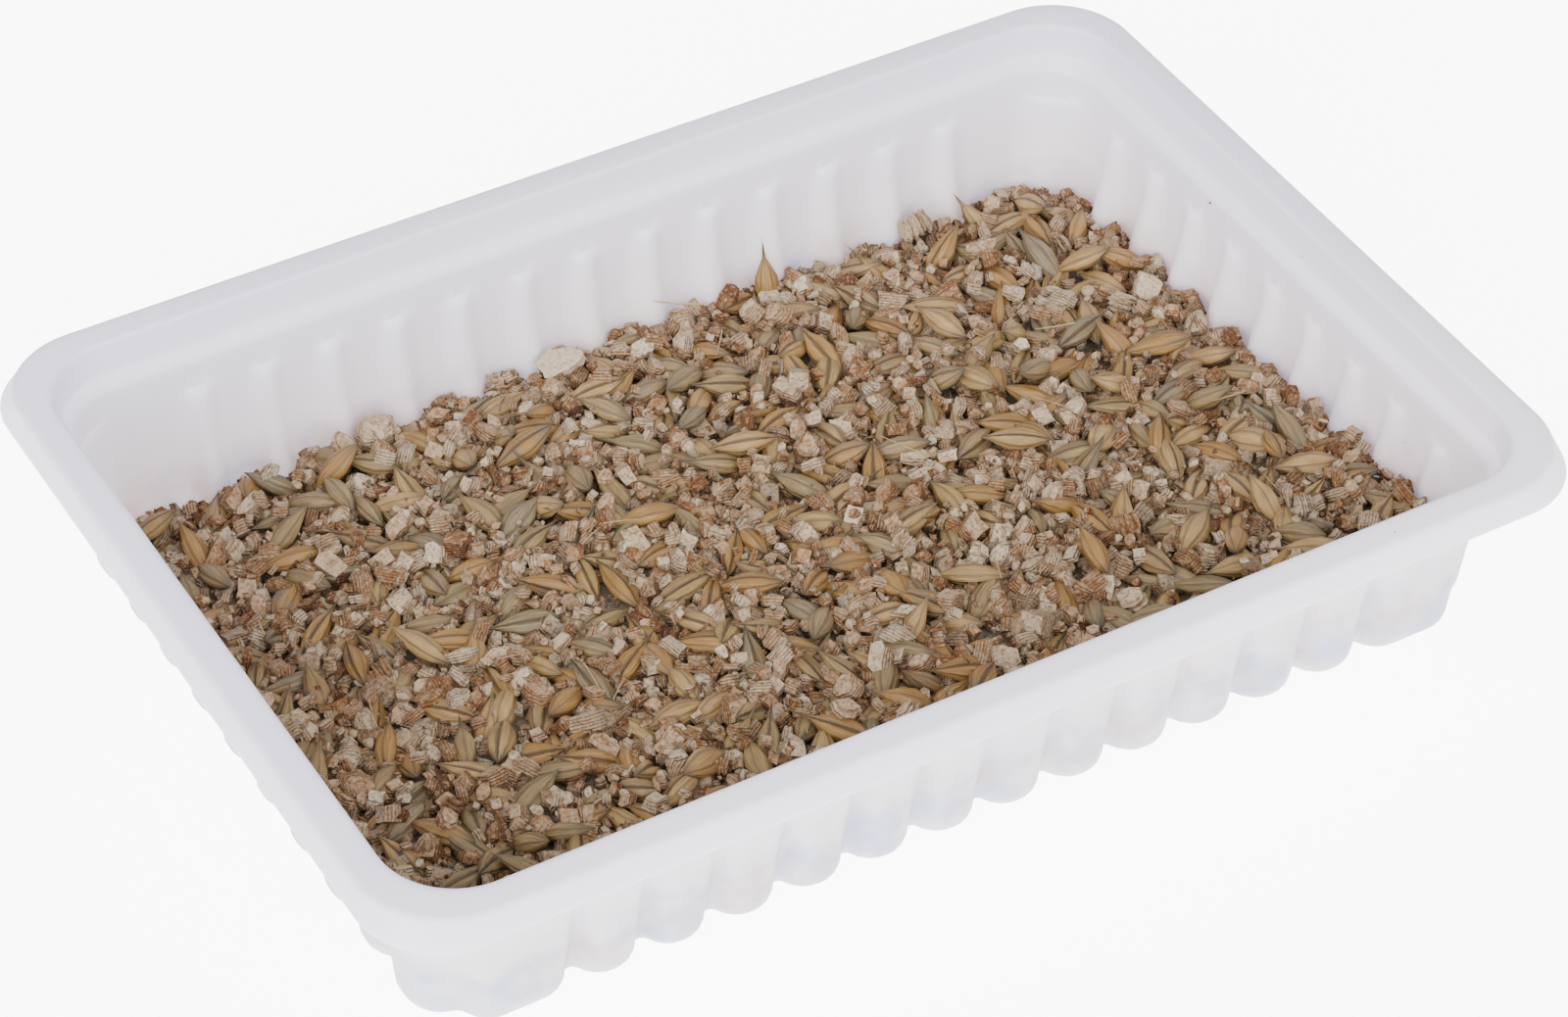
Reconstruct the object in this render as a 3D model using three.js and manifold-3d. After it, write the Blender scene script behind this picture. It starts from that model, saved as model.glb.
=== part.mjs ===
// A white plastic food tray with fluted walls, sown with barley on a bed of vermiculite.
// Millimetres, +Z up. The origin is the middle of the tray's underside, with the long side along X.

import * as THREE from 'three';
import { mergeVertices } from 'three/addons/utils/BufferGeometryUtils.js';
import Module from 'manifold-3d';

// Driving dimensions of the tray, measured over all
const trayLength = 186;
const trayWidth = 131;
const trayHeight = 32;
const wall = 0.7;

// Rim, skirt and ledge: insets run inwards from the skirt's lower edge, depths down from the rim's top
const skirtDepth = 3.8;
const skirtInset = 1.0;
const rimInnerInset = 6.0;
const rimOuterRounding = 1.05;
const rimInnerRounding = 0.5;
const ledgeTop = { inset: 6.8, depth: 5.1 };
const ledgeFoot = { inset: 8.4, depth: 6.4 };
const draft = 0.056;
const toeRadius = 4.7;

// Corner radii of the rounded outline at the skirt, the rim and the wall
const skirtRadius = 12.1;
const rimRadius = 13.0;
const rimInnerRadius = 11.2;
const wallRadius = 9.3;

// Ribs pressed into the walls: a blunt shoulder at their top, deepest and widest at the base
const longWall = { ribs: 13, pitch: 10.45 };
const shortWall = { ribs: 9, pitch: 10.28 };
const ribTopDepth = 11.3;
const ribShoulder = { drop: 1.8, share: 0.28 };
const ribReach = 3.4;
const ribRadius = 2.3;
const ribFoot = 0.45;
const cornerRibReach = 2.2;
const cornerRibLean = 1.25;

// The filling: its level in the middle of the tray and how it slopes, with the size of its pieces
const fillLevel = 9.6;
const fillSlope = { alongX: 0.0105, alongY: -0.068, crown: 0.0001 };
const fillGap = 0.35;
const granulePitch = 4.4;
const granuleHeight = 2.4;
const grain = { length: 9.8, width: 3.7, thickness: 3.0, spacing: 14, rise: 1.0 };
const lump = { length: 6.4, width: 5.2, height: 4.4 };
const lumpPlaces = [[-38, 50], [-6, 53], [55, 52], [73, 26]];
const seed = 20;

// A repeatable run of random numbers from 0 to 1
function randomRun(start) {
  let state = start;
  return () => {
    state = (state + 0x6d2b79f5) | 0;
    let mixed = Math.imul(state ^ (state >>> 15), 1 | state);
    mixed = (mixed + Math.imul(mixed ^ (mixed >>> 7), 61 | mixed)) ^ mixed;
    return ((mixed ^ (mixed >>> 14)) >>> 0) / 4294967296;
  };
}

// How far in the wall stands at this distance from a rib's middle, on a rib grown to this share of its reach.
// An arc over the rib runs smoothly into the hollow arc at its foot, and the foot spreads as the rib grows.
function ribShape(distance, pitch, growth) {
  if (growth <= 0) return 0;
  const reach = ribReach * growth;
  const spread = (pitch / 2) * (ribFoot + (1 - ribFoot) * growth);
  const turn = 2 * Math.atan(reach / spread);
  const hollowRadius = spread / Math.sin(turn) - ribRadius;
  const away = Math.min(Math.abs(distance), spread);
  if (away < ribRadius * Math.sin(turn)) {
    return reach - ribRadius + Math.sqrt(ribRadius ** 2 - away ** 2);
  }
  return hollowRadius - Math.sqrt(hollowRadius ** 2 - (spread - away) ** 2);
}

// The single soft rib of a corner leans a little towards the long wall
function cornerRibShape(corner, turn) {
  const leaned = corner % 2 === 0 ? turn ** cornerRibLean : 1 - (1 - turn) ** cornerRibLean;
  return Math.sin(Math.PI * leaned) ** 2.5;
}

// The stations once round the outline, counter-clockwise, each on a side or on a corner
function stations(sidePhases, cornerSteps) {
  const list = [];
  for (let side = 0; side < 4; side++) {
    const { ribs, pitch } = side % 2 === 0 ? shortWall : longWall;
    const half = (ribs - 1) / 2;
    const places = sidePhases.length ? [-(half + 0.5)] : [];
    for (let rib = -half; rib <= half; rib++) {
      for (const phase of sidePhases) places.push(rib + phase);
    }
    for (const place of places) {
      const nearest = Math.max(-half, Math.min(half, Math.round(place)));
      list.push({ side, pitch, along: place * pitch, fromRib: (place - nearest) * pitch });
    }
    for (let step = 0; step <= cornerSteps; step++) {
      const turn = step / cornerSteps;
      list.push({ corner: side, turn, cornerRib: cornerRibShape(side, turn) });
    }
  }
  return list;
}

// The point of one station on an outline of this inset and corner radius, with the ribs grown this far
function outlinePoint(station, inset, radius, growth) {
  const halfLength = trayLength / 2 - inset;
  const halfWidth = trayWidth / 2 - inset;
  const quarter = Math.PI / 2;
  if (station.side !== undefined) {
    const plain = station.side % 2 === 0 ? halfLength : halfWidth;
    const reach = plain - ribShape(station.fromRib, station.pitch, growth);
    return new THREE.Vector2(reach, station.along).rotateAround(new THREE.Vector2(), station.side * quarter);
  }
  const signs = [[1, 1], [-1, 1], [-1, -1], [1, -1]][station.corner];
  const angle = (station.corner + station.turn) * quarter;
  const reach = radius - cornerRibReach * growth * station.cornerRib;
  const x = signs[0] * (halfLength - radius) + reach * Math.cos(angle);
  const y = signs[1] * (halfWidth - radius) + reach * Math.sin(angle);
  return new THREE.Vector2(x, y);
}

// One closed loop of points round the tray, pushed out sideways from the outline where asked
function ring(around, { inset, depth, radius, ribs = 0, push = 0 }) {
  const flat = around.map((s) => outlinePoint(s, inset, radius, ribs));
  const points = flat.map((point, i) => {
    const before = flat[(i + flat.length - 1) % flat.length];
    const after = flat[(i + 1) % flat.length];
    const along = after.clone().sub(before).normalize();
    return new THREE.Vector3(point.x + push * along.y, point.y - push * along.x, trayHeight - depth);
  });
  return { points, marks: around.map((s) => markOf(s)) };
}

// Where a station lies on the way round, the same for a coarse loop and a fine one
function markOf(station) {
  if (station.side === undefined) return station.corner + 0.7 + 0.3 * station.turn;
  const halfSide = station.side % 2 === 0 ? trayWidth / 2 : trayLength / 2;
  return station.side + 0.35 + (0.35 * station.along) / halfSide;
}

// Joins two loops with triangles, however many points each one has
function stitch(lower, upper, offsets, faces) {
  const counts = [lower.points.length, upper.points.length];
  const mark = (loop, i) => loop.marks[i % loop.marks.length] + 4 * Math.floor(i / loop.marks.length);
  let a = 0;
  let b = 0;
  while (a < counts[0] || b < counts[1]) {
    const takeLower = b >= counts[1] || (a < counts[0] && mark(lower, a + 1) <= mark(upper, b + 1));
    const lowerNow = offsets[0] + (a % counts[0]);
    const upperNow = offsets[1] + (b % counts[1]);
    if (takeLower) {
      faces.push(lowerNow, offsets[0] + ((a + 1) % counts[0]), upperNow);
      a++;
    } else {
      faces.push(lowerNow, offsets[1] + ((b + 1) % counts[1]), upperNow);
      b++;
    }
  }
}

// A closed body from a stack of loops, with a flat cap over the first and the last.
// A stack that runs down from its top is turned right side out.
function loft(loops, runsDown = false) {
  const points = [];
  const faces = [];
  const offsets = [];
  for (const loop of loops) {
    offsets.push(points.length);
    points.push(...loop.points);
  }
  for (let i = 0; i + 1 < loops.length; i++) {
    stitch(loops[i], loops[i + 1], [offsets[i], offsets[i + 1]], faces);
  }
  const last = loops.length - 1;
  for (const [index, flip] of [[0, true], [last, false]]) {
    const contour = loops[index].points.map((p) => new THREE.Vector2(p.x, p.y));
    for (const [p, q, r] of THREE.ShapeUtils.triangulateShape(contour, [])) {
      const corners = flip ? [r, q, p] : [p, q, r];
      faces.push(...corners.map((corner) => corner + offsets[index]));
    }
  }
  if (runsDown) faces.reverse();
  return bodyOf(points, faces);
}

// A geometry with merged corners
function bodyOf(points, faces) {
  const geometry = new THREE.BufferGeometry().setFromPoints(points);
  geometry.setIndex(faces);
  return mergeVertices(geometry, 1e-4);
}

// The inner face of the wall, from under the ledge to where it turns into the floor
const insideDepth = trayHeight - wall;
const insideToe = toeRadius - wall;
const toeDepth = insideDepth - insideToe;
const shoulderDepth = ribTopDepth + ribShoulder.drop;
const wallInset = (depth) => ledgeFoot.inset + draft * (depth - ledgeFoot.depth);

// The share of its full reach that a rib has at this depth: a quick rise at its top, then a steady one
function ribGrowth(depth) {
  if (depth <= ribTopDepth) return 0;
  const steady = Math.min(1, (depth - ribTopDepth) / (insideDepth - ribTopDepth));
  const rise = Math.min(1, (depth - ribTopDepth) / ribShoulder.drop);
  const blunt = Math.sqrt(1 - (1 - rise) ** 2);
  return ribShoulder.share * blunt + (1 - ribShoulder.share) * steady;
}

// A loop on the wall at this depth, pushed out to the outer face or in to the filling's side
function wallRing(around, depth, push) {
  return ring(around, { inset: wallInset(depth), depth, radius: wallRadius, ribs: ribGrowth(depth), push });
}

// A loop on the rounded toe between wall and floor, from 0 on the wall to 1 on the floor
function toeRing(around, turn, push) {
  const angle = (turn * Math.PI) / 2;
  const inset = wallInset(toeDepth) + insideToe * (1 - Math.cos(angle));
  const depth = toeDepth + (insideToe + push) * Math.sin(angle);
  const radius = Math.max(wallRadius - insideToe * (1 - Math.cos(angle)), 1.5 * cornerRibReach);
  return ring(around, { inset, depth, radius, ribs: ribGrowth(depth), push: push * Math.cos(angle) });
}

// Stations of the ribbed walls, and of the plain rim and ledge above them
const ribbed = stations([-0.34, -0.17, 0, 0.17, 0.34, 0.5], 8);
const plain = stations([], 9);

// The tray: a thin shell, with a folded rim and skirt, a ledge, ribbed walls and a flat base
function trayGeometry() {
  const rimRing = (inset, depth, radius) => ring(plain, { inset, depth, radius });
  const outerRing = (inset, depth) => rimRing(inset, depth, rimRadius + skirtInset - inset);
  return loft([
    toeRing(ribbed, 1, wall),
    toeRing(ribbed, 0.5, wall),
    toeRing(ribbed, 0, wall),
    wallRing(ribbed, shoulderDepth, wall),
    wallRing(ribbed, ribTopDepth, wall),
    rimRing(ledgeFoot.inset - 0.55 * wall, ledgeFoot.depth + 0.8 * wall, wallRadius + wall),
    rimRing(ledgeTop.inset - 0.9 * wall, ledgeTop.depth + 0.6 * wall, rimInnerRadius),
    rimRing(rimInnerInset - wall, wall, rimInnerRadius + wall),
    outerRing(skirtInset + rimOuterRounding, wall),
    outerRing(skirtInset + wall, rimOuterRounding),
    rimRing(wall, skirtDepth, skirtRadius - wall),
    rimRing(0, skirtDepth, skirtRadius),
    outerRing(skirtInset, rimOuterRounding),
    outerRing(skirtInset + 0.3 * rimOuterRounding, 0.3 * rimOuterRounding),
    outerRing(skirtInset + rimOuterRounding, 0),
    rimRing(rimInnerInset - rimInnerRounding, 0, rimInnerRadius + rimInnerRounding),
    rimRing(rimInnerInset, rimInnerRounding, rimInnerRadius),
    rimRing(ledgeTop.inset, ledgeTop.depth, rimInnerRadius - 0.6),
    rimRing(ledgeFoot.inset, ledgeFoot.depth, wallRadius),
    wallRing(ribbed, ribTopDepth, 0),
    wallRing(ribbed, shoulderDepth, 0),
    toeRing(ribbed, 0, 0),
    toeRing(ribbed, 0.5, 0),
    toeRing(ribbed, 1, 0),
  ]);
}

const wasm = await Module();
wasm.setup();

// Turns a closed geometry into a solid for joining and cutting, and back
function solidOf(geometry) {
  const vertProperties = new Float32Array(geometry.attributes.position.array);
  const triVerts = new Uint32Array(geometry.index.array);
  return new wasm.Manifold(new wasm.Mesh({ numProp: 3, vertProperties, triVerts }));
}

function geometryOf(solid) {
  const mesh = solid.getMesh();
  const geometry = new THREE.BufferGeometry();
  geometry.setAttribute('position', new THREE.BufferAttribute(Float32Array.from(mesh.vertProperties), 3));
  geometry.setIndex(new THREE.BufferAttribute(Uint32Array.from(mesh.triVerts), 1));
  return geometry;
}

// The level of the filling: a shallow slope, higher at the near wall, a little lower at both ends
function fillHeight(x, y) {
  return fillLevel + fillSlope.alongX * x + fillSlope.alongY * y - fillSlope.crown * x * x;
}

// The space that the filling may take: the inside of the tray, a gap clear of it all round
function fillSpace() {
  const loops = [
    wallRing(ribbed, shoulderDepth, -fillGap),
    toeRing(ribbed, 0, -fillGap),
    toeRing(ribbed, 0.5, -fillGap),
    toeRing(ribbed, 1, -fillGap),
  ];
  return loft(loops, true);
}

// Vermiculite as relief: a block whose top is a grid of corners, each moved and raised at random
function granuleBlock(random) {
  const columns = Math.ceil(trayLength / granulePitch);
  const rows = Math.ceil(trayWidth / granulePitch);
  const loopOf = (raise) => {
    const points = [];
    for (let row = 0; row <= rows; row++) {
      for (let column = 0; column <= columns; column++) {
        const x = (column - columns / 2 + raise * 0.7 * (random() - 0.5)) * granulePitch;
        const y = (row - rows / 2 + raise * 0.7 * (random() - 0.5)) * granulePitch;
        const height = fillHeight(x, y) + granuleHeight * (random() - 0.5);
        points.push(new THREE.Vector3(x, y, raise ? height : 0));
      }
    }
    return points;
  };
  const top = loopOf(1);
  const corner = (row, column) => row * (columns + 1) + column;
  const faces = [];
  for (let row = 0; row < rows; row++) {
    for (let column = 0; column < columns; column++) {
      const [a, b] = [corner(row, column), corner(row, column + 1)];
      const [c, d] = [corner(row + 1, column + 1), corner(row + 1, column)];
      faces.push(...((row + column) % 2 ? [a, b, c, a, c, d] : [a, b, d, b, c, d]));
    }
  }
  const edge = [];
  for (let column = 0; column < columns; column++) edge.push(corner(0, column));
  for (let row = 0; row < rows; row++) edge.push(corner(row, columns));
  for (let column = columns; column > 0; column--) edge.push(corner(rows, column));
  for (let row = rows; row > 0; row--) edge.push(corner(row, 0));
  const points = [...top, ...edge.map((i) => new THREE.Vector3(top[i].x, top[i].y, 0))];
  const foot = (i) => top.length + (i % edge.length);
  edge.forEach((upper, i) => {
    const next = edge[(i + 1) % edge.length];
    faces.push(upper, foot(i), foot(i + 1), upper, foot(i + 1), next);
  });
  const middle = points.length;
  points.push(new THREE.Vector3(0, 0, 0));
  edge.forEach((_, i) => faces.push(middle, foot(i + 1), foot(i)));
  return bodyOf(points, faces);
}

// One barley grain: a spindle with a point at each end, fullest a little off its middle
function grainGeometry() {
  const sides = 6;
  const rings = [[-0.2, 0.97], [0.18, 1]];
  const points = [new THREE.Vector3(-grain.length / 2, 0, 0)];
  for (const [along, girth] of rings) {
    for (let side = 0; side < sides; side++) {
      const angle = (2 * Math.PI * (side + 0.5)) / sides;
      const y = (girth * grain.width * Math.cos(angle)) / 2;
      const z = (girth * grain.thickness * Math.sin(angle)) / 2;
      points.push(new THREE.Vector3(along * grain.length, y, z));
    }
  }
  points.push(new THREE.Vector3(grain.length / 2, 0, 0));
  const faces = [];
  for (let side = 0; side < sides; side++) {
    const next = (side + 1) % sides;
    faces.push(0, 1 + next, 1 + side);
    for (let band = 0; band + 1 < rings.length; band++) {
      const [a, b] = [1 + band * sides + side, 1 + band * sides + next];
      faces.push(a, b, b + sides, a, b + sides, a + sides);
    }
    const last = 1 + (rings.length - 1) * sides;
    faces.push(last + side, last + next, points.length - 1);
  }
  return bodyOf(points, faces);
}

// One larger lump of vermiculite, a block with blunt facets
function lumpGeometry() {
  const geometry = new THREE.IcosahedronGeometry(0.56, 0).scale(lump.length, lump.width, lump.height);
  geometry.deleteAttribute('normal');
  geometry.deleteAttribute('uv');
  return mergeVertices(geometry, 1e-4);
}

// Lays a shape on the filling at a place, turned to a heading and tipped a little
function laid(geometry, x, y, heading, tip, rise) {
  const turn = new THREE.Quaternion().setFromEuler(new THREE.Euler(tip, tip / 2, heading, 'ZYX'));
  const place = new THREE.Vector3(x, y, fillHeight(x, y) + rise);
  return geometry.clone().applyMatrix4(new THREE.Matrix4().compose(place, turn, new THREE.Vector3(1, 1, 1)));
}

// The filling: vermiculite with barley grains and a few larger lumps lying half sunk in it
function bedGeometry() {
  const random = randomRun(seed);
  const pieces = [solidOf(granuleBlock(random))];
  const grainShape = grainGeometry();
  const lumpShape = lumpGeometry();
  const columns = Math.round((trayLength - 2 * ledgeFoot.inset) / grain.spacing) - 1;
  const rows = Math.round((trayWidth - 2 * ledgeFoot.inset) / grain.spacing) - 1;
  for (let column = 0; column < columns; column++) {
    for (let row = 0; row < rows; row++) {
      const x = (column - (columns - 1) / 2 + 0.5 * (random() - 0.5)) * grain.spacing;
      const y = (row - (rows - 1) / 2 + 0.5 * (random() - 0.5)) * grain.spacing;
      const tip = 0.5 * (random() - 0.5);
      pieces.push(solidOf(laid(grainShape, x, y, Math.PI * random(), tip, grain.rise)));
    }
  }
  for (const [x, y] of lumpPlaces) {
    pieces.push(solidOf(laid(lumpShape, x, y, Math.PI * random(), 0.4, 0.35 * lump.height)));
  }
  const heap = wasm.Manifold.union(pieces).intersect(solidOf(fillSpace()));
  const bodies = heap.decompose().sort((a, b) => b.volume() - a.volume());
  return geometryOf(bodies[0]);
}

// A named piece with its own finish
function piece(name, geometry, color, roughness) {
  geometry.computeVertexNormals();
  const material = new THREE.MeshStandardMaterial({ color, roughness, metalness: 0, flatShading: true });
  const mesh = new THREE.Mesh(geometry, material);
  mesh.name = name;
  return mesh;
}

const group = new THREE.Group();
group.add(piece('tray', trayGeometry(), 0xe4e5ea, 0.35));
group.add(piece('sown_bed', bedGeometry(), 0xa88f74, 0.9));

export default group;
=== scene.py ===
import math
import random

import bmesh
import bpy
import numpy as np
from mathutils import Euler, Matrix, Vector


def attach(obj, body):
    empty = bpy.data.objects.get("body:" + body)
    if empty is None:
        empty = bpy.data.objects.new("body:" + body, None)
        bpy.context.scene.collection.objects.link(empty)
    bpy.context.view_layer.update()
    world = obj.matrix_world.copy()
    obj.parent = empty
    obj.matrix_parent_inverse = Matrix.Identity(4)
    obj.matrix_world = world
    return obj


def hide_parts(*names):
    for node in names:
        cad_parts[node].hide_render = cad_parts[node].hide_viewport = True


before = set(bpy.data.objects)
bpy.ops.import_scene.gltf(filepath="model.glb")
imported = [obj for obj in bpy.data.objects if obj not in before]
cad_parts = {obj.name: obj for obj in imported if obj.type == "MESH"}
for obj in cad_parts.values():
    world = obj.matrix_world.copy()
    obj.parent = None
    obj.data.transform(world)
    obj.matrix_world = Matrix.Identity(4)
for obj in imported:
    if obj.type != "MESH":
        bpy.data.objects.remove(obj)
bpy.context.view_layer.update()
mm = 0.001  # everything below is written in millimetres and made in metres
fullTurn = 2 * math.pi

# A sown sprouting tray: white plastic with ribbed walls, vermiculite, and barley that has not sprouted.


# small helpers for objects and meshes

def deselectAll():
    for thing in bpy.context.selected_objects:
        thing.select_set(False)


def chooseOnly(thing):
    deselectAll()
    thing.select_set(True)
    bpy.context.view_layer.objects.active = thing


def startFrom(primitive, name, **values):
    # a new object from one of Blender's primitives
    deselectAll()
    primitive(**values)
    thing = bpy.context.active_object
    thing.name = name
    thing.data.name = name
    return thing


def applyModifier(thing, kind, **values):
    chooseOnly(thing)
    modifier = thing.modifiers.new(kind.title(), kind)
    for key, value in values.items():
        setattr(modifier, key, value)
    bpy.ops.object.modifier_apply(modifier=modifier.name)


def editMesh(thing, *steps):
    chooseOnly(thing)
    bpy.ops.object.mode_set(mode="EDIT")
    bpy.ops.mesh.select_all(action="SELECT")
    for step in steps:
        step()
    bpy.ops.object.mode_set(mode="OBJECT")


def cutInBands(thing, bands):
    # cuts a thing that is 1 high across, at even heights
    def cutAcross():
        for cut in range(1, bands):
            bpy.ops.mesh.select_all(action="SELECT")
            bpy.ops.mesh.bisect(plane_co=(0, 0, -0.5 + cut / bands), plane_no=(0, 0, 1))

    editMesh(thing, cutAcross)


# camera and light, as in the photograph

cameraPlace = {
    "target": (-9.84, -17.61, 32.0),
    "azimuth": -31.34,
    "elevation": 41.86,
    "distance": 644.7,
    "roll": 1.22,
    "lens": 109.28,
}


def makeCamera(place):
    azimuth, elevation, roll = (math.radians(place[key]) for key in ("azimuth", "elevation", "roll"))
    level = math.cos(elevation)
    back = Vector((math.sin(azimuth) * level, -math.cos(azimuth) * level, math.sin(elevation)))
    spot = (Vector(place["target"]) + back * place["distance"]) * mm
    turn = back.to_track_quat("Z", "Y").to_matrix().to_4x4() @ Matrix.Rotation(roll, 4, "Z")
    bpy.ops.object.camera_add()
    camera = bpy.context.active_object
    camera.name = "photoCamera"
    camera.matrix_world = Matrix.Translation(spot) @ turn
    camera.data.sensor_width = 36
    camera.data.sensor_fit = "HORIZONTAL"
    camera.data.lens = place["lens"]
    camera.data.clip_start = 0.05
    camera.data.clip_end = 20
    bpy.context.scene.camera = camera


lamps = {
    "overhead": {"place": (0.1, -0.3, 1.25), "size": 1.3, "watts": 7.0},
    "left": {"place": (-1.2, -0.55, 0.6), "size": 1.1, "watts": 32.0},
    "front": {"place": (-0.25, -1.4, 0.75), "size": 1.1, "watts": 26.0},
    "right": {"place": (1.1, -0.6, 0.5), "size": 0.9, "watts": 5.0},
}
roomBrightness = 0.69


def makeLights(lampList, brightness):
    for name, lamp in lampList.items():
        place = Vector(lamp["place"])
        turn = place.to_track_quat("Z", "Y").to_euler()
        bpy.ops.object.light_add(type="AREA", location=place, rotation=turn)
        light = bpy.context.active_object
        light.name = name
        light.data.size = lamp["size"]
        light.data.energy = lamp["watts"]
    world = bpy.data.worlds.new("studio")
    world.use_nodes = True
    background = world.node_tree.nodes["Background"]
    background.inputs["Color"].default_value = (1, 1, 1, 1)
    background.inputs["Strength"].default_value = brightness
    bpy.context.scene.world = world


deselectAll()
makeCamera(cameraPlace)
makeLights(lamps, roomBrightness)
print("camera and lights made")


# materials

def newMaterial(name):
    material = bpy.data.materials.new(name)
    material.use_nodes = True
    tree = material.node_tree
    return material, tree, tree.nodes["Principled BSDF"]


def feed(tree, node, inputs):
    # another node's output is linked to the input, and a plain value is set on it
    for key, value in inputs.items():
        if isinstance(value, bpy.types.NodeSocket):
            tree.links.new(value, node.inputs[key])
        else:
            node.inputs[key].default_value = value


def addNode(tree, kind, inputs, **settings):
    node = tree.nodes.new("ShaderNode" + kind)
    for key, value in settings.items():
        setattr(node, key, value)
    feed(tree, node, inputs)
    return node


def calculate(tree, operation, *values, clamp=False):
    return addNode(tree, "Math", dict(enumerate(values)), operation=operation, use_clamp=clamp).outputs[0]


def times(tree, first, second, clamp=False):
    return calculate(tree, "MULTIPLY", first, second, clamp=clamp)


def timesPlus(tree, first, second, extra, clamp=False):
    return calculate(tree, "MULTIPLY_ADD", first, second, extra, clamp=clamp)


def minus(tree, first, second, clamp=False):
    return calculate(tree, "SUBTRACT", first, second, clamp=clamp)


def rampUp(tree, value, low, high):
    # 0 at low and 1 at high, held beyond them; high may be the lower one
    return addNode(tree, "MapRange", {"Value": value, "From Min": low, "From Max": high}).outputs[0]


def spread(tree, value, low, high):
    # from low to high as the value goes from 0 to 1
    return addNode(tree, "MapRange", {"Value": value, "To Min": low, "To Max": high}).outputs[0]


def noise(tree, place, scale, detail):
    return addNode(tree, "TexNoise", {"Vector": place, "Scale": scale, "Detail": detail}).outputs[0]


def bump(tree, height, strength, distance):
    return addNode(tree, "Bump", {"Height": height, "Strength": strength, "Distance": distance}).outputs[0]


def blend(tree, amount, first, second, mode="MIX"):
    inputs = {0: amount, 6: first, 7: second}
    return addNode(tree, "Mix", inputs, data_type="RGBA", blend_type=mode).outputs[2]


def colourSteps(tree, amount, steps):
    node = addNode(tree, "ValToRGB", {0: amount})
    stops = node.color_ramp.elements
    while len(stops) < len(steps):
        stops.new(0.5)
    for stop, (place, colour) in zip(stops, steps):
        stop.position = place
        stop.color = colour
    return node.outputs[0]


def sRgb(red, green, blue):
    def linear(value):
        share = value / 255
        return share / 12.92 if share <= 0.04045 else ((share + 0.055) / 1.055) ** 2.4
    return (linear(red), linear(green), linear(blue), 1)


def objectPlace(tree):
    return addNode(tree, "TexCoord", {}).outputs["Object"]


def ownAttribute(tree, name):
    return addNode(tree, "Attribute", {}, attribute_name=name).outputs["Fac"]


gritShape = {"finer": 4.0, "crackWidth": 0.12, "crackDepth": 0.35}


def makeGritGroup(shape):
    # fine grit: a value that mottles a colour and a height for a Bump node
    group = bpy.data.node_groups.new("fineGrit", "ShaderNodeTree")
    for name, way, kind in (
        ("Place", "INPUT", "NodeSocketVector"),
        ("Scale", "INPUT", "NodeSocketFloat"),
        ("Mottle", "OUTPUT", "NodeSocketFloat"),
        ("Height", "OUTPUT", "NodeSocketFloat"),
    ):
        group.interface.new_socket(name, in_out=way, socket_type=kind)
    place, scale = group.nodes.new("NodeGroupInput").outputs[:2]
    broad = noise(group, place, scale, 3.0)
    fine = noise(group, place, times(group, scale, shape["finer"]), 2.0)
    cells = addNode(group, "TexVoronoi", {"Vector": place, "Scale": scale}, feature="DISTANCE_TO_EDGE")
    crack = rampUp(group, cells.outputs["Distance"], 0.0, shape["crackWidth"])
    mixed = timesPlus(group, fine, 0.5, broad)
    height = timesPlus(group, crack, shape["crackDepth"], mixed)
    feed(group, group.nodes.new("NodeGroupOutput"), {"Mottle": mixed, "Height": height})
    return group


gritGroup = makeGritGroup(gritShape)


def addGrit(tree, place, scale):
    node = tree.nodes.new("ShaderNodeGroup")
    node.node_tree = gritGroup
    feed(tree, node, {"Place": place, "Scale": scale})
    return node


plasticLook = {
    "white": sRgb(212, 215, 242),
    "warm": sRgb(228, 223, 238),
    "coolShadow": sRgb(176, 184, 208),
    "warmShadow": sRgb(198, 184, 184),
    # painted bounce light: the warm tint the filling throws on the wall, how far above its level it reaches
    # and how strongly it is mixed in
    "glow": sRgb(246, 228, 219),
    "paintedBounceReach": 0.022,
    "paintedBounceShare": 0.6,
    "shadowLeast": 0.45,
    "shadowPatches": 0.65,
    "roughness": (0.3, 0.44),
    "scattering": 0.7,
    "scatterDepth": 0.003,
}


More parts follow.
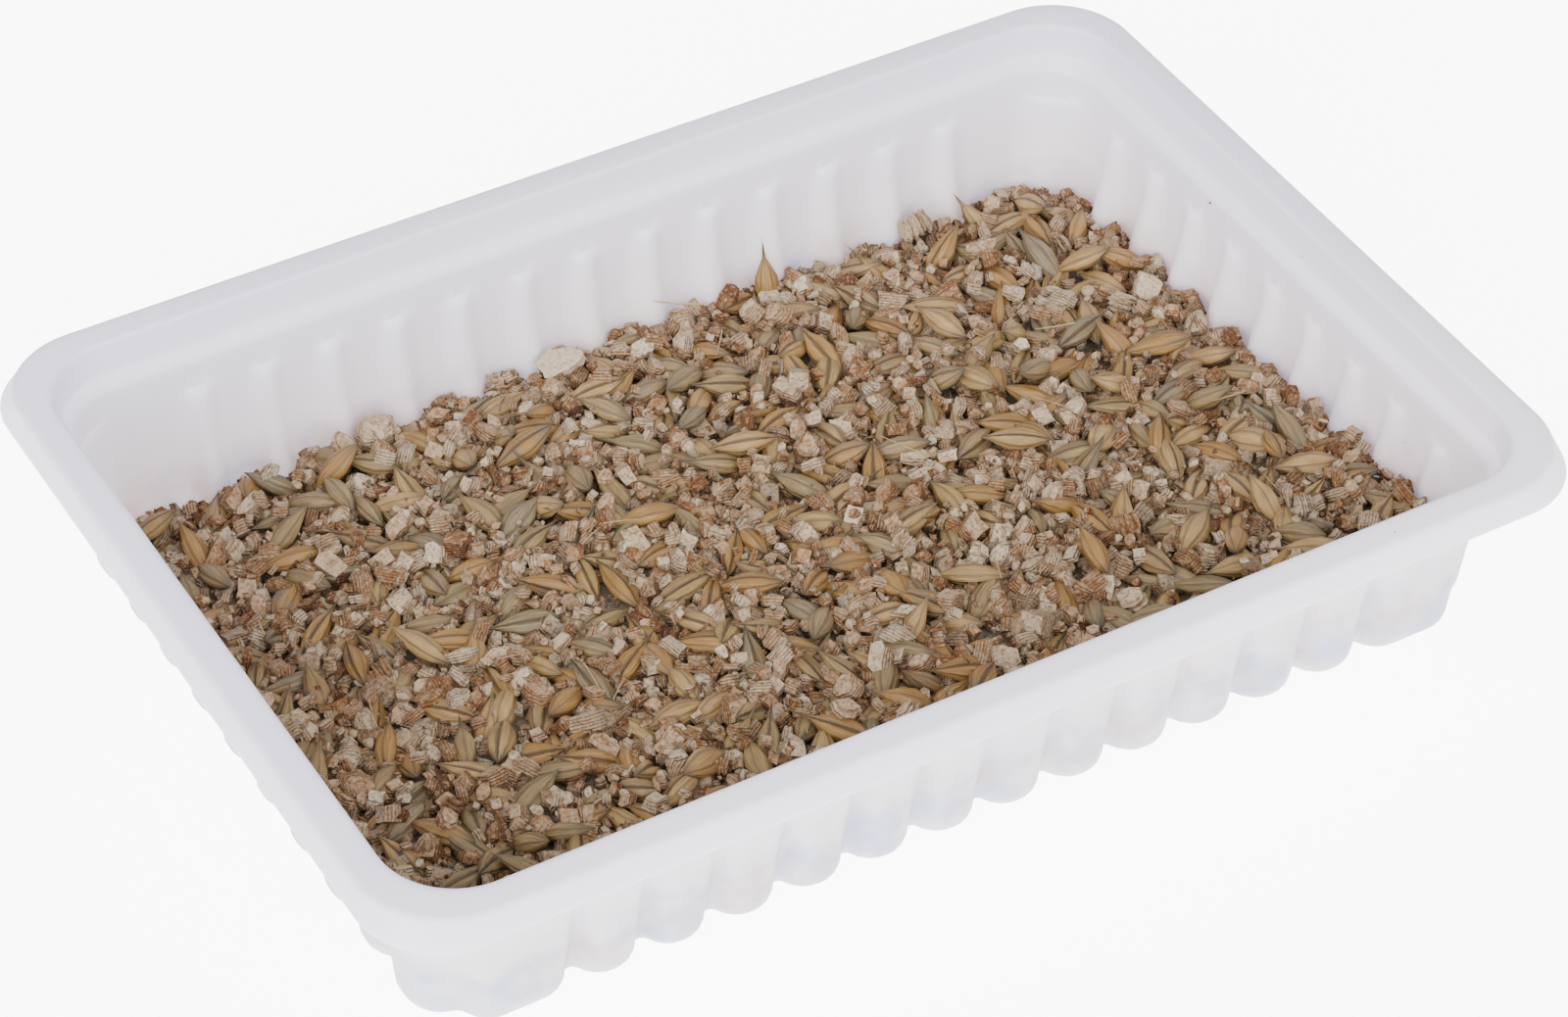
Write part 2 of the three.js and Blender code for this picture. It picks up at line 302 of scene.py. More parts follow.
def plasticMaterial(look, fill):
    # white translucent plastic: painted shade, where the filling lies behind the wall, shows through it as
    # faint cool and warm patches, and a painted warm bounce light lies on the wall just above the filling
    material, tree, shader = newMaterial("trayPlastic")
    place = objectPlace(tree)
    x, y, z = addNode(tree, "SeparateXYZ", {"Vector": place}).outputs
    slopeY = timesPlus(tree, y, fill["alongY"], fill["level"] * mm)
    level = timesPlus(tree, x, fill["alongX"], slopeY)
    ragged = timesPlus(tree, noise(tree, place, 140.0, 2.0), 0.006, level)
    below = minus(tree, ragged, z)
    # painted shade: below the filling's ragged level the colour turns to cool and warm shadow patches
    covered = rampUp(tree, below, -0.001, 0.006)
    seen = rampUp(tree, noise(tree, place, 210.0, 3.0), 0.35, 0.7)
    hue = rampUp(tree, noise(tree, place, 90.0, 1.0), 0.42, 0.6)
    shadow = blend(tree, hue, look["coolShadow"], look["warmShadow"])
    white = blend(tree, noise(tree, place, 14.0, 1.0), look["white"], look["warm"])
    # painted light: a warm tint standing for light bounced off the filling, strongest at its level and
    # fading out above it
    near = rampUp(tree, below, -look["paintedBounceReach"], 0.002)
    glow = times(tree, calculate(tree, "POWER", near, 1.3), look["paintedBounceShare"])
    withPaintedBounce = blend(tree, glow, white, look["glow"])
    patchy = timesPlus(tree, seen, look["shadowPatches"], look["shadowLeast"])
    feed(tree, shader, {
        "Base Color": blend(tree, times(tree, covered, patchy, clamp=True), withPaintedBounce, shadow),
        "Roughness": spread(tree, noise(tree, place, 60.0, 4.0), *look["roughness"]),
        "IOR": 1.49,
        "Subsurface Weight": look["scattering"],
        "Subsurface Radius": (1.0, 0.85, 0.8),
        "Subsurface Scale": look["scatterDepth"],
        "Normal": bump(tree, noise(tree, place, 420.0, 2.0), 0.12, 0.00012),
    })
    return material


flakeTints = [
    (0.0, sRgb(203, 187, 161)),
    (0.25, sRgb(188, 165, 136)),
    (0.5, sRgb(170, 139, 108)),
    (0.72, sRgb(146, 109, 72)),
    (0.88, sRgb(120, 79, 46)),
    (1.0, sRgb(92, 56, 33)),
]
flakeMarks = {
    "leafEdge": sRgb(108, 68, 42),
    "rust": sRgb(128, 80, 44),
    "pit": sRgb(66, 43, 28),
    # painted highlight colour: pale flecks standing for glints off the mica
    "micaGlint": sRgb(214, 206, 188),
}
flakeScales = {"grit": 620.0, "rust": 480.0, "fleck": 1900.0, "leaves": 14.0}


def vermiculiteMaterial(name, paintedShade=0.0, marks=1.0):
    # layered flakes: pale and mottled on the flat of a leaf, striped and browner across the leaves' edges
    material, tree, shader = newMaterial(name)
    tint, flat, layer = (ownAttribute(tree, key) for key in ("tint", "flat", "layer"))
    ownShift = addNode(tree, "CombineXYZ", {0: tint, 1: times(tree, tint, 7.0)}).outputs[0]
    place = addNode(tree, "VectorMath", {0: objectPlace(tree), 1: ownShift}).outputs[0]
    grit = addGrit(tree, place, flakeScales["grit"])
    mottle = minus(tree, grit.outputs["Mottle"], 0.75)
    wander = timesPlus(tree, mottle, 0.7 * marks, tint)
    capColour = colourSteps(tree, minus(tree, wander, 0.07, clamp=True), flakeTints)
    edgeColour = colourSteps(tree, calculate(tree, "ADD", wander, 0.1, clamp=True), flakeTints)
    waved = timesPlus(tree, mottle, 3.0, times(tree, layer, flakeScales["leaves"]))
    leafGap = calculate(tree, "POWER", timesPlus(tree, calculate(tree, "SINE", waved), 0.5, 0.5), 2.0)
    striped = blend(tree, times(tree, leafGap, 0.5 * marks), edgeColour, flakeMarks["leafEdge"])
    colour = blend(tree, flat, striped, capColour)
    fleck = noise(tree, place, flakeScales["fleck"], 1.0)
    rust = rampUp(tree, noise(tree, place, flakeScales["rust"], 3.0), 0.5, 0.68)
    pit = rampUp(tree, fleck, 0.56, 0.7)
    # painted highlight: pale flecks standing for glints off the mica
    micaGlint = rampUp(tree, fleck, 0.42, 0.3)
    for amount, mark in (
        (times(tree, rust, 0.34 * marks), "rust"),
        (times(tree, pit, 0.42 * marks), "pit"),
        (times(tree, micaGlint, 0.3), "micaGlint"),
    ):
        colour = blend(tree, amount, colour, flakeMarks[mark])
    # painted shade: the gain is lowered by the given amount for copies that lie in shade below and between
    # the top granules
    gain = timesPlus(tree, mottle, 0.4, 0.92 - paintedShade, clamp=True)
    shade = addNode(tree, "CombineColor", {0: gain, 1: gain, 2: gain}).outputs[0]
    lines = times(tree, leafGap, minus(tree, 1.0, flat))
    pitted = timesPlus(tree, pit, -0.5, grit.outputs["Height"])
    feed(tree, shader, {
        "Base Color": blend(tree, 1.0, colour, shade, "MULTIPLY"),
        "Roughness": 0.8,
        "Specular IOR Level": 0.3,
        "Normal": bump(tree, timesPlus(tree, lines, -0.8, pitted), 0.9, 0.0003),
    })
    return material


huskTints = [
    (0.0, sRgb(146, 110, 60)),
    (0.16, sRgb(132, 97, 50)),
    (0.32, sRgb(158, 128, 84)),
    (0.46, sRgb(140, 113, 70)),
    (0.6, sRgb(118, 101, 70)),
    (0.74, sRgb(134, 110, 72)),
    (0.88, sRgb(108, 98, 78)),
    (1.0, sRgb(138, 100, 48)),
]
huskMarks = {
    "vein": sRgb(70, 52, 32),
    "fibre": sRgb(190, 164, 116),
    "tip": sRgb(74, 66, 56),
    # painted shade colour for the belly crease
    "crease": sRgb(62, 45, 30),
}


def huskMaterial():
    # dry barley husk: veins run from tip to tip, tips are greyer, a crease runs along the belly and is
    # darkened with painted shade
    material, tree, shader = newMaterial("barleyHusk")
    tint = ownAttribute(tree, "tint")
    uv = addNode(tree, "UVMap", {}, uv_map="UVMap").outputs[0]
    around, along, _ = addNode(tree, "SeparateXYZ", {"Vector": uv}).outputs
    shift = times(tree, tint, 37.0)

    def huskNoise(acrossScale, alongScale, detail):
        spot = {0: times(tree, around, acrossScale), 1: times(tree, along, alongScale), 2: shift}
        return noise(tree, addNode(tree, "CombineXYZ", spot).outputs[0], 1.0, detail)

    fibre = huskNoise(40.0, 3.0, 3.0)
    cloud = huskNoise(3.5, 3.0, 2.0)
    wander = timesPlus(tree, minus(tree, cloud, 0.5), 0.3, tint)
    colour = colourSteps(tree, calculate(tree, "MAXIMUM", wander, 0.0, clamp=True), huskTints)
    phase = timesPlus(tree, around, 5.0 * fullTurn, times(tree, cloud, 1.2))
    vein = calculate(tree, "POWER", timesPlus(tree, calculate(tree, "COSINE", phase), -0.5, 0.5), 7.0)
    tip = rampUp(tree, calculate(tree, "ABSOLUTE", minus(tree, along, 0.5)), 0.26, 0.5)
    crease = rampUp(tree, calculate(tree, "ABSOLUTE", minus(tree, around, 0.5)), 0.04, 0.0)
    for amount, mark in (
        (times(tree, rampUp(tree, fibre, 0.52, 0.72), 0.4), "fibre"),
        (times(tree, rampUp(tree, fibre, 0.46, 0.3), 0.35), "vein"),
        (times(tree, vein, 0.5), "vein"),
        (times(tree, tip, timesPlus(tree, cloud, 1.3, 0.05), clamp=True), "tip"),
        # painted shade darkens the crease along the belly
        (times(tree, crease, 0.85), "crease"),
    ):
        colour = blend(tree, amount, colour, huskMarks[mark])
    ridged = timesPlus(tree, vein, -0.8, fibre)
    feed(tree, shader, {
        "Base Color": colour,
        "Roughness": spread(tree, fibre, 0.4, 0.6),
        "Specular IOR Level": 0.4,
        "Normal": bump(tree, timesPlus(tree, crease, -1.5, ridged), 0.8, 0.0002),
    })
    return material


strawLook = {
    "grit": 900.0, "pale": sRgb(206, 184, 140), "dark": sRgb(150, 124, 86), "roughness": 0.6, "relief": 0.3,
}
dirtLook = {
    "grit": 1500.0, "pale": sRgb(120, 88, 60), "dark": sRgb(52, 38, 30), "roughness": 0.9, "relief": 0.0,
}


def grittyMaterial(name, look):
    material, tree, shader = newMaterial(name)
    grit = addGrit(tree, objectPlace(tree), look["grit"])
    feed(tree, shader, {
        "Base Color": blend(tree, grit.outputs["Mottle"], look["pale"], look["dark"]),
        "Roughness": look["roughness"],
        "Normal": bump(tree, grit.outputs["Height"], look["relief"], 0.00005),
    })
    return material


floorGlow = {"light": 2.0, "seen": 8.0}  # how strongly the floor lights the tray, and how bright it looks


def floorMaterial(glow):
    # as white as a light table
    material, tree, shader = newMaterial("paleFloor")
    looking = addNode(tree, "LightPath", {}).outputs["Is Camera Ray"]
    broad = noise(tree, objectPlace(tree), 2.0, 2.0)
    feed(tree, shader, {
        "Base Color": blend(tree, broad, sRgb(246, 246, 247), sRgb(241, 241, 242)),
        "Roughness": 0.85,
        "Emission Color": (1, 1, 1, 1),
        "Emission Strength": timesPlus(tree, looking, glow["seen"] - glow["light"], glow["light"]),
    })
    return material


# the filling's level, in millimetres above the tray's underside, as the frame's solid has it
fillShape = {"level": 9.6, "alongX": 0.0105, "alongY": -0.068, "crown": 0.0001}


def fillHeight(x, y):
    shape = fillShape
    return shape["level"] + shape["alongX"] * x + shape["alongY"] * y - shape["crown"] * x * x


plastic = plasticMaterial(plasticLook, fillShape)
# the shaded copies carry painted shade: darker for the granules below the top layer and the fine debris,
# darkest for the body seen between granules
vermiculite = vermiculiteMaterial("vermiculite")
shadedVermiculite = vermiculiteMaterial("vermiculiteShadedBelow", paintedShade=0.3)
paintedShadeVermiculite = vermiculiteMaterial("vermiculiteBodyInShade", paintedShade=0.6)
paleVermiculite = vermiculiteMaterial("paleVermiculite", marks=0.4)
husk = huskMaterial()
straw = grittyMaterial("dryStraw", strawLook)
speckDirt = grittyMaterial("dustSpeck", dirtLook)
paleFloor = floorMaterial(floorGlow)
print("materials made")


# floor

studioFloor = startFrom(bpy.ops.mesh.primitive_plane_add, "studioFloor", size=8)
studioFloor.data.materials.append(paleFloor)


# the tray

trayShape = {
    "length": 186.0,
    "width": 131.0,
    "height": 32.0,
    "wall": 0.7,
    "skirtDepth": 3.8,
    "skirtInset": 1.35,
    "lipCurl": 0.25,
    "rimInnerInset": 6.0,
    "ledgeTop": (6.8, 5.1),
    "ledgeFoot": (8.4, 6.4),
    "draft": 0.056,
    "toeRadius": 4.7,
    "cornerInsets": (0.0, 1.0, 2.1, 6.0, 8.4, 9.6, 13.6, 16.6),
    "cornerRadii": (12.1, 13.0, 11.9, 11.2, 9.3, 9.3, 5.3, 2.8),
    "shortWall": {"ribs": 9, "pitch": 10.28},
    "longWall": {"ribs": 13, "pitch": 10.45},
    "ribTopDepth": 11.3,
    "ribShoulder": 1.8,
    "ribStart": 0.28,
    "ribReach": 3.4,
    "ribRadius": 2.3,
    "ribFoot": 0.45,
    "cornerRibReach": 2.2,
    "cornerRibLean": 1.25,
}
insideDepth = trayShape["height"] - trayShape["wall"]


def wallRibs(side):
    return trayShape["longWall"] if side % 2 else trayShape["shortWall"]


def ribStand(distance, pitch, growth):
    # how far in the wall stands here: an arc over the rib meets the arc of the hollow at its foot
    if growth <= 0:
        return 0.0
    reach = trayShape["ribReach"] * growth
    ribRadius = trayShape["ribRadius"]
    foot = trayShape["ribFoot"]
    spread = pitch / 2 * (foot + (1 - foot) * growth)
    turn = 2 * math.atan(reach / spread)
    hollowRadius = spread / math.sin(turn) - ribRadius
    away = min(abs(distance), spread)
    if away < ribRadius * math.sin(turn):
        return reach - ribRadius + math.sqrt(ribRadius ** 2 - away ** 2)
    return hollowRadius - math.sqrt(hollowRadius ** 2 - (spread - away) ** 2)


def cornerRib(corner, turn, growth):
    lean = trayShape["cornerRibLean"]
    leaned = turn ** lean if corner % 2 == 0 else 1 - (1 - turn) ** lean
    return trayShape["cornerRibReach"] * growth * math.sin(math.pi * leaned) ** 2.5


def ribGrowth(depth):
    # the share of its reach that a rib has at this depth: a quick rise at its top, then a steady one
    past = depth - trayShape["ribTopDepth"]
    if past <= 0:
        return 0.0
    steady = min(1.0, past / (insideDepth - trayShape["ribTopDepth"]))
    rise = min(1.0, past / trayShape["ribShoulder"])
    start = trayShape["ribStart"]
    return start * math.sqrt(1 - (1 - rise) ** 2) + (1 - start) * steady


def wallInset(depth):
    inset, top = trayShape["ledgeFoot"]
    return inset + trayShape["draft"] * (depth - top)


def toeInset(depth):
    # how much further in the rounded toe brings the wall at this depth
    toe = trayShape["toeRadius"] - trayShape["wall"]
    below = max(0.0, depth - (insideDepth - toe))
    return toe - math.sqrt(max(0.0, toe ** 2 - below ** 2))


def cornerRadius(inset):
    # the outline's corner radius by how far in it lies
    return float(np.interp(inset, trayShape["cornerInsets"], trayShape["cornerRadii"]))


def roundStations(cornerSteps):
    # places once round the outline: ("side", which, millimetres along, distance from a rib) or a corner
    places = []
    for side in range(4):
        ribs, pitch = wallRibs(side).values()
        half = (ribs - 1) / 2
        spots = [-(half + 0.5)]
        for index in range(ribs):
            spots.extend(index - half + phase for phase in ribPhases)
        for spot in spots:
            nearest = max(-half, min(half, round(spot + half) - half))
            places.append(("side", side, spot * pitch, (spot - nearest) * pitch))
        for step in range(cornerSteps + 1):
            places.append(("corner", side, step / cornerSteps, 0.0))
    return places


def halfSizes(inset):
    # half the length and half the width of the outline this far in
    return trayShape["length"] / 2 - inset, trayShape["width"] / 2 - inset


def outlinePoint(place, inset, growth):
    kind, which, along, fromRib = place
    halfLength, halfWidth = halfSizes(inset)
    if kind == "side":
        reach = halfLength if which % 2 == 0 else halfWidth
        point = Vector((reach - ribStand(fromRib, wallRibs(which)["pitch"], growth), along))
        return Matrix.Rotation(which * math.pi / 2, 2) @ point
    radius = cornerRadius(inset)
    angle = (which + along) * math.pi / 2
    reach = radius - cornerRib(which, along, growth)
    signX = (1, -1, -1, 1)[which]
    signY = (1, 1, -1, -1)[which]
    x = signX * (halfLength - radius) + reach * math.cos(angle)
    y = signY * (halfWidth - radius) + reach * math.sin(angle)
    return Vector((x, y))


def roundedPath(corners):
    # a path of (inset, depth) through corner points, each rounded to its radius
    path = [corners[0][:2]]
    for before, here, after in zip(corners, corners[1:], corners[2:]):
        point = Vector(here[:2])
        inward = (Vector(before[:2]) - point).normalized()
        outward = (Vector(after[:2]) - point).normalized()
        opening = inward.angle(outward)
        run = here[2] / math.tan(opening / 2)
        middle = point + (inward + outward).normalized() * (here[2] / math.sin(opening / 2))
        start = point + inward * run - middle
        turn = start.angle_signed(point + outward * run - middle)
        steps = here[3]
        for step in range(steps + 1):
            spoke = Matrix.Rotation(-turn * step / steps, 2) @ start
            path.append(tuple(middle + spoke))
    path.append(corners[-1][:2])
    return path


def sheetPath():
    # the upper face of the plastic sheet, from the skirt's lip over the rim and down to the floor
    shape = trayShape
    ribTop = shape["ribTopDepth"]
    shoulder = [ribTop + shape["ribShoulder"] * share for share in (0.0, 0.03, 0.1, 0.22, 0.4, 0.65, 1.0)]
    upper = roundedPath([
        (0.0, shape["skirtDepth"]),
        (shape["lipCurl"], shape["skirtDepth"] - 0.7, 0.6, 3),
        (shape["skirtInset"], 0.0, 1.15, 6),
        (shape["rimInnerInset"], 0.0, 0.7, 5),
        (*shape["ledgeTop"], 1.3, 4),
        (*shape["ledgeFoot"], 2.0, 5),
        (wallInset(ribTop), ribTop),
    ])
    floorInset = wallInset(insideDepth)
    lower = roundedPath([
        (wallInset(shoulder[-1]), shoulder[-1]),
        (floorInset, insideDepth, shape["toeRadius"] - shape["wall"], 8),
        (floorInset + 6.0, insideDepth),
    ])
    return upper[:-1] + [(wallInset(depth), depth) for depth in shoulder] + lower[1:]


def splitLongRuns(path, longest):
    result = [path[0]]
    for before, after in zip(path, path[1:]):
        steps = max(1, math.ceil(math.dist(before, after) / longest))
        for step in range(1, steps + 1):
            share = step / steps
            result.append(tuple(a + (b - a) * share for a, b in zip(before, after)))
    return result


def wrapGrid(name, places, pathAt):
    # a grid primitive whose columns go round the outline and whose rows follow each place's path
    columns = len(places)
    rows = len(pathAt(places[0]))
    grid = bpy.ops.mesh.primitive_grid_add
    thing = startFrom(grid, name, x_subdivisions=columns, y_subdivisions=rows - 1, size=1)
    table = {}
    for column, place in enumerate(places):
        for row, (inset, depth) in enumerate(pathAt(place)):
            flat = outlinePoint(place, inset, ribGrowth(depth))
            table[column, row] = Vector((*flat, trayShape["height"] - depth)) * mm
    for vertex in thing.data.vertices:
        column = round((vertex.co.x + 0.5) * columns) % columns
        row = round((vertex.co.y + 0.5) * (rows - 1))
        vertex.co = table[column, row]
    editMesh(thing, lambda: bpy.ops.mesh.remove_doubles(threshold=0.00001))
    return thing


def capLoop(thing, height=None):
    # fills the open loop that lies at this height, or without a height the only one left
    def pickLoop():
        bpy.ops.mesh.select_mode(type="EDGE")
        bpy.ops.mesh.select_all(action="DESELECT")
        cage = bmesh.from_edit_mesh(thing.data)
        for edge in cage.edges:
            level = height is None or all(abs(vertex.co.z - height) < 1e-6 for vertex in edge.verts)
            if edge.is_boundary and level:
                edge.select = True
        bmesh.update_edit_mesh(thing.data)

    editMesh(thing, pickLoop, bpy.ops.mesh.edge_face_add)


def faceOut(thing):
    editMesh(thing, lambda: bpy.ops.mesh.normals_make_consistent(inside=False))


# where the outline has points, as shares of the ribs' spacing
nearRib = [0.04, 0.08, 0.12, 0.17, 0.24, 0.32, 0.41]
ribPhases = [-value for value in reversed(nearRib)] + [0.0] + nearRib + [0.5]
traySteps = {"corner": 20, "longestRun": 2.2, "edge": 0.15}


def makeTray(steps):
    places = roundStations(steps["corner"])
    path = splitLongRuns(sheetPath(), steps["longestRun"])
    tray = wrapGrid("whiteTray", places, lambda place: path)
    capLoop(tray, trayShape["wall"] * mm)
    faceOut(tray)
    floor = max(tray.data.polygons, key=lambda face: face.area)
    if floor.normal.z < 0:
        editMesh(tray, bpy.ops.mesh.flip_normals)
    applyModifier(tray, "SOLIDIFY", thickness=trayShape["wall"] * mm, offset=-1.0)
    edge = {"width": steps["edge"] * mm, "segments": 2, "limit_method": "ANGLE"}
    applyModifier(tray, "BEVEL", **edge, angle_limit=math.radians(60))
    chooseOnly(tray)
    bpy.ops.object.shade_smooth_by_angle(angle=math.radians(50))
    tray.data.materials.append(plastic)
    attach(tray, "root")
    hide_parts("tray")
    print("tray made:", len(tray.data.polygons), "faces")
    return tray


whiteTray = makeTray(traySteps)


# the body of the filling, below its loose granules

def markBed(thing, material):
    thing.data.materials.append(material)
    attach(thing, "root")
    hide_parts("sown_bed")


bodyShape = {"gap": 0.9, "belowTop": 2.6, "leastDepth": 0.4, "cornerSteps": 12}


def makeBedBody(shape):
    gap = shape["gap"]
    floorInset = wallInset(insideDepth)
    bottom = insideDepth - gap

    def pathAt(place):
        flat = outlinePoint(place, floorInset, 1.0)
        surface = trayShape["height"] - fillHeight(flat.x, flat.y)
        top = min(bottom - shape["leastDepth"], surface + shape["belowTop"])
        depths = [top + (bottom - top) * share for share in (0.0, 0.4, 0.7, 0.9, 1.0)]
        path = [(wallInset(depth) + gap + toeInset(depth + gap), depth) for depth in depths]
        return path + [(floorInset + 6.0, bottom)]

    body = wrapGrid("bedBody", roundStations(shape["cornerSteps"]), pathAt)
    capLoop(body, (trayShape["wall"] + gap) * mm)
    capLoop(body)
    faceOut(body)
    # the body is seen only in the gaps between granules, so it gets the darkest vermiculite, with painted
    # shade
    markBed(body, paintedShadeVermiculite)
    print("bed body made")


makeBedBody(bodyShape)


# granules: a few shapes modelled once, then scattered as many copies

def shapeData(thing):
    # what a scatter needs of a shape: corners, faces, flatness of each face, and UV
    mesh = thing.data
    points = np.array([vertex.co[:] for vertex in mesh.vertices])
    faces = [tuple(face.vertices) for face in mesh.polygons]
    flat = np.array([abs(face.normal.z) ** 3 for face in mesh.polygons])
    layer = mesh.uv_layers.active
    uv = np.array([loop.uv[:] for loop in layer.data]) if layer else None
    bpy.data.objects.remove(thing)
    bpy.data.meshes.remove(mesh)
    return {"points": points, "faces": faces, "flat": flat, "uv": uv}


def modelStack(name, rng, sides, bands, ragged, groove=0.12, bow=0.0, narrowest=0.62):
    # a short stack of thin leaves: rings in and out make the grooves between them
    cylinder = bpy.ops.mesh.primitive_cylinder_add
    thing = startFrom(cylinder, name, vertices=sides, radius=0.6, depth=1.0)
    cutInBands(thing, bands)
    shift = 0.3 * ragged
    leaves = []
    for _ in range(bands + 1):
        size = 1 - ragged * rng.random()
        leaves.append((size, shift * rng.uniform(-1, 1), shift * rng.uniform(-1, 1)))
    spokes = [rng.uniform(narrowest, 1.0) for _ in range(sides)]
    skews = [rng.uniform(-0.2, 0.2) for _ in range(sides)]
    for vertex in thing.data.vertices:
        level = round((vertex.co.z + 0.5) * bands)
        size, shiftX, shiftY = leaves[level]
        spoke = round(math.atan2(vertex.co.y, vertex.co.x) / fullTurn * sides) % sides
        reach = size * spokes[spoke] * (1 - groove * (level % 2)) * rng.uniform(1 - 0.3 * ragged, 1)
        vertex.co.x = vertex.co.x * reach + shiftX + bow * (vertex.co.z ** 2 - 0.1)
        vertex.co.y = vertex.co.y * reach + shiftY
        vertex.co.z *= 1 + skews[spoke]
    return shapeData(thing)


crumbShape = {"roundness": (0.2, 0.6), "taper": (-0.3, 0.3), "lean": (-0.25, 0.25)}


def drawEach(rng, shape, *keys):
    # one random value from each of these ranges of a shape
    return [rng.uniform(*shape[key]) for key in keys]


def modelCrumb(name, rng, cuts=1, rough=0.1):
    # a worn crumb: a cube cut up, half rounded, with its corners pushed about
    thing = startFrom(bpy.ops.mesh.primitive_cube_add, name, size=1)
    editMesh(thing, lambda: bpy.ops.mesh.subdivide(number_cuts=cuts))
    roundness, taper, lean = drawEach(rng, crumbShape, "roundness", "taper", "lean")
    for vertex in thing.data.vertices:
        ball = vertex.co.normalized() * 0.6
        vertex.co = vertex.co.lerp(ball, roundness)
        vertex.co.x *= 1 + taper * vertex.co.z
        vertex.co.y *= 1 - taper * vertex.co.x
        vertex.co.x += lean * vertex.co.z
        vertex.co += Vector((rng.uniform(-rough, rough) for _ in range(3)))
    return shapeData(thing)


lumpShape = {"width": 1.15, "pleats": 13, "pleatDepth": 0.07, "roughness": ((0.3, 0.26), (0.09, 0.1))}


def modelLump(name, crest):
    # a large rough lump, narrower towards its crest
    shape = lumpShape
    thing = startFrom(bpy.ops.mesh.primitive_ico_sphere_add, name, subdivisions=4, radius=0.5)
    for vertex in thing.data.vertices:
        narrow = 1 - crest * (vertex.co.z + 0.5) ** 1.5
        ripple = math.sin(shape["pleats"] * math.atan2(vertex.co.y, vertex.co.x))
        pleat = 1 + shape["pleatDepth"] * ripple * (0.5 - vertex.co.z)
        vertex.co.x *= shape["width"] * narrow * pleat
        vertex.co.y *= shape["width"] * narrow * pleat
    for scale, strength in shape["roughness"]:
        texture = bpy.data.textures.new(name, "CLOUDS")
        texture.noise_scale = scale
        applyModifier(thing, "DISPLACE", texture=texture, strength=strength, mid_level=0.5)
        bpy.data.textures.remove(texture)
    return shapeData(thing)


def modelGranules(seed):
    rng = random.Random(seed)
    shapes = []
    for index in range(6):
        sides = rng.choice([4, 5, 6])
        bands = rng.choice([3, 5])
        shapes.append(modelStack("stack%d" % index, rng, sides, bands, 0.24))
    shapes.extend(modelCrumb("crumb%d" % index, rng) for index in range(10))
    return shapes


def modelDebris(seed):
    rng = random.Random(seed)
    return [modelStack("debris%d" % index, rng, 4, 2, 0.3, groove=0.0) for index in range(6)]


def setAttribute(mesh, name, domain, values):
    mesh.attributes.new(name, "FLOAT", domain).data.foreach_set("value", np.concatenate(values))


def scatterCopies(name, shapes, copies, roundBelow):
    # one mesh of many copies: each copy is (shape, centre, 3 x 3 matrix, tint)
    points, faces, tints, flats, layers, uvs = [], [], [], [], [], []
    start = 0
    for which, centre, turn, tint in copies:
        shape = shapes[which]
        corners = shape["points"] @ turn.T + centre
        points.append(corners)
        faces.extend(tuple(corner + start for corner in face) for face in shape["faces"])
        tints.append(np.full(len(corners), tint))
        thickness = np.linalg.norm(turn[:, 2]) / mm
        layers.append(shape["points"][:, 2] * thickness + tint * 9)
        flats.append(shape["flat"])
        if shape["uv"] is not None:
            uvs.append(shape["uv"])
        start += len(corners)
    mesh = bpy.data.meshes.new(name)
    mesh.from_pydata(np.concatenate(points), [], faces)
    thing = bpy.data.objects.new(name, mesh)
    bpy.context.scene.collection.objects.link(thing)
    setAttribute(mesh, "tint", "POINT", tints)
    setAttribute(mesh, "layer", "POINT", layers)
    setAttribute(mesh, "flat", "FACE", flats)
    if uvs:
        layer = mesh.uv_layers.new(name="UVMap")
        layer.data.foreach_set("uv", np.concatenate(uvs).astype(np.float32).ravel())
    mesh.update()
    chooseOnly(thing)
    bpy.ops.object.shade_smooth_by_angle(angle=math.radians(roundBelow))
    return thing


# how the pieces pile up: a map of the heap's height that each laid piece raises

heapStep = 0.5


def wallDistance(x, y, z):
    # how far inside the tray's inner wall a place is, ribs included
    depth = trayShape["height"] - z
    growth = ribGrowth(depth)
    inset = wallInset(depth) + toeInset(depth)
    halfLength, halfWidth = halfSizes(inset)
    radius = cornerRadius(inset)
    cornerX = abs(x) - (halfLength - radius)
    cornerY = abs(y) - (halfWidth - radius)
    if cornerX > 0 and cornerY > 0:
        turn = math.atan2(cornerY, cornerX) / (math.pi / 2)
        return radius - cornerRib(0, turn, growth) - math.hypot(cornerX, cornerY)
    gaps = []
    for across, along, half, wall in ((x, y, halfLength, 0), (y, x, halfWidth, 1)):
        ribs, pitch = wallRibs(wall).values()
        last = (ribs - 1) // 2
        nearest = max(-last, min(last, round(along / pitch)))
        gaps.append(half - abs(across) - ribStand(along - nearest * pitch, pitch, growth))
    return min(gaps)


clearance = {"floor": 0.05, "wall": 0.08}


def pokesOut(shape, centre, turn):
    # whether any corner of a laid piece would stand in the tray's wall or floor
    lowest = trayShape["wall"] + clearance["floor"]
    corners = (shape["points"] @ turn.T + centre) / mm
    return any(corner[2] < lowest or wallDistance(*corner) < clearance["wall"] for corner in corners)


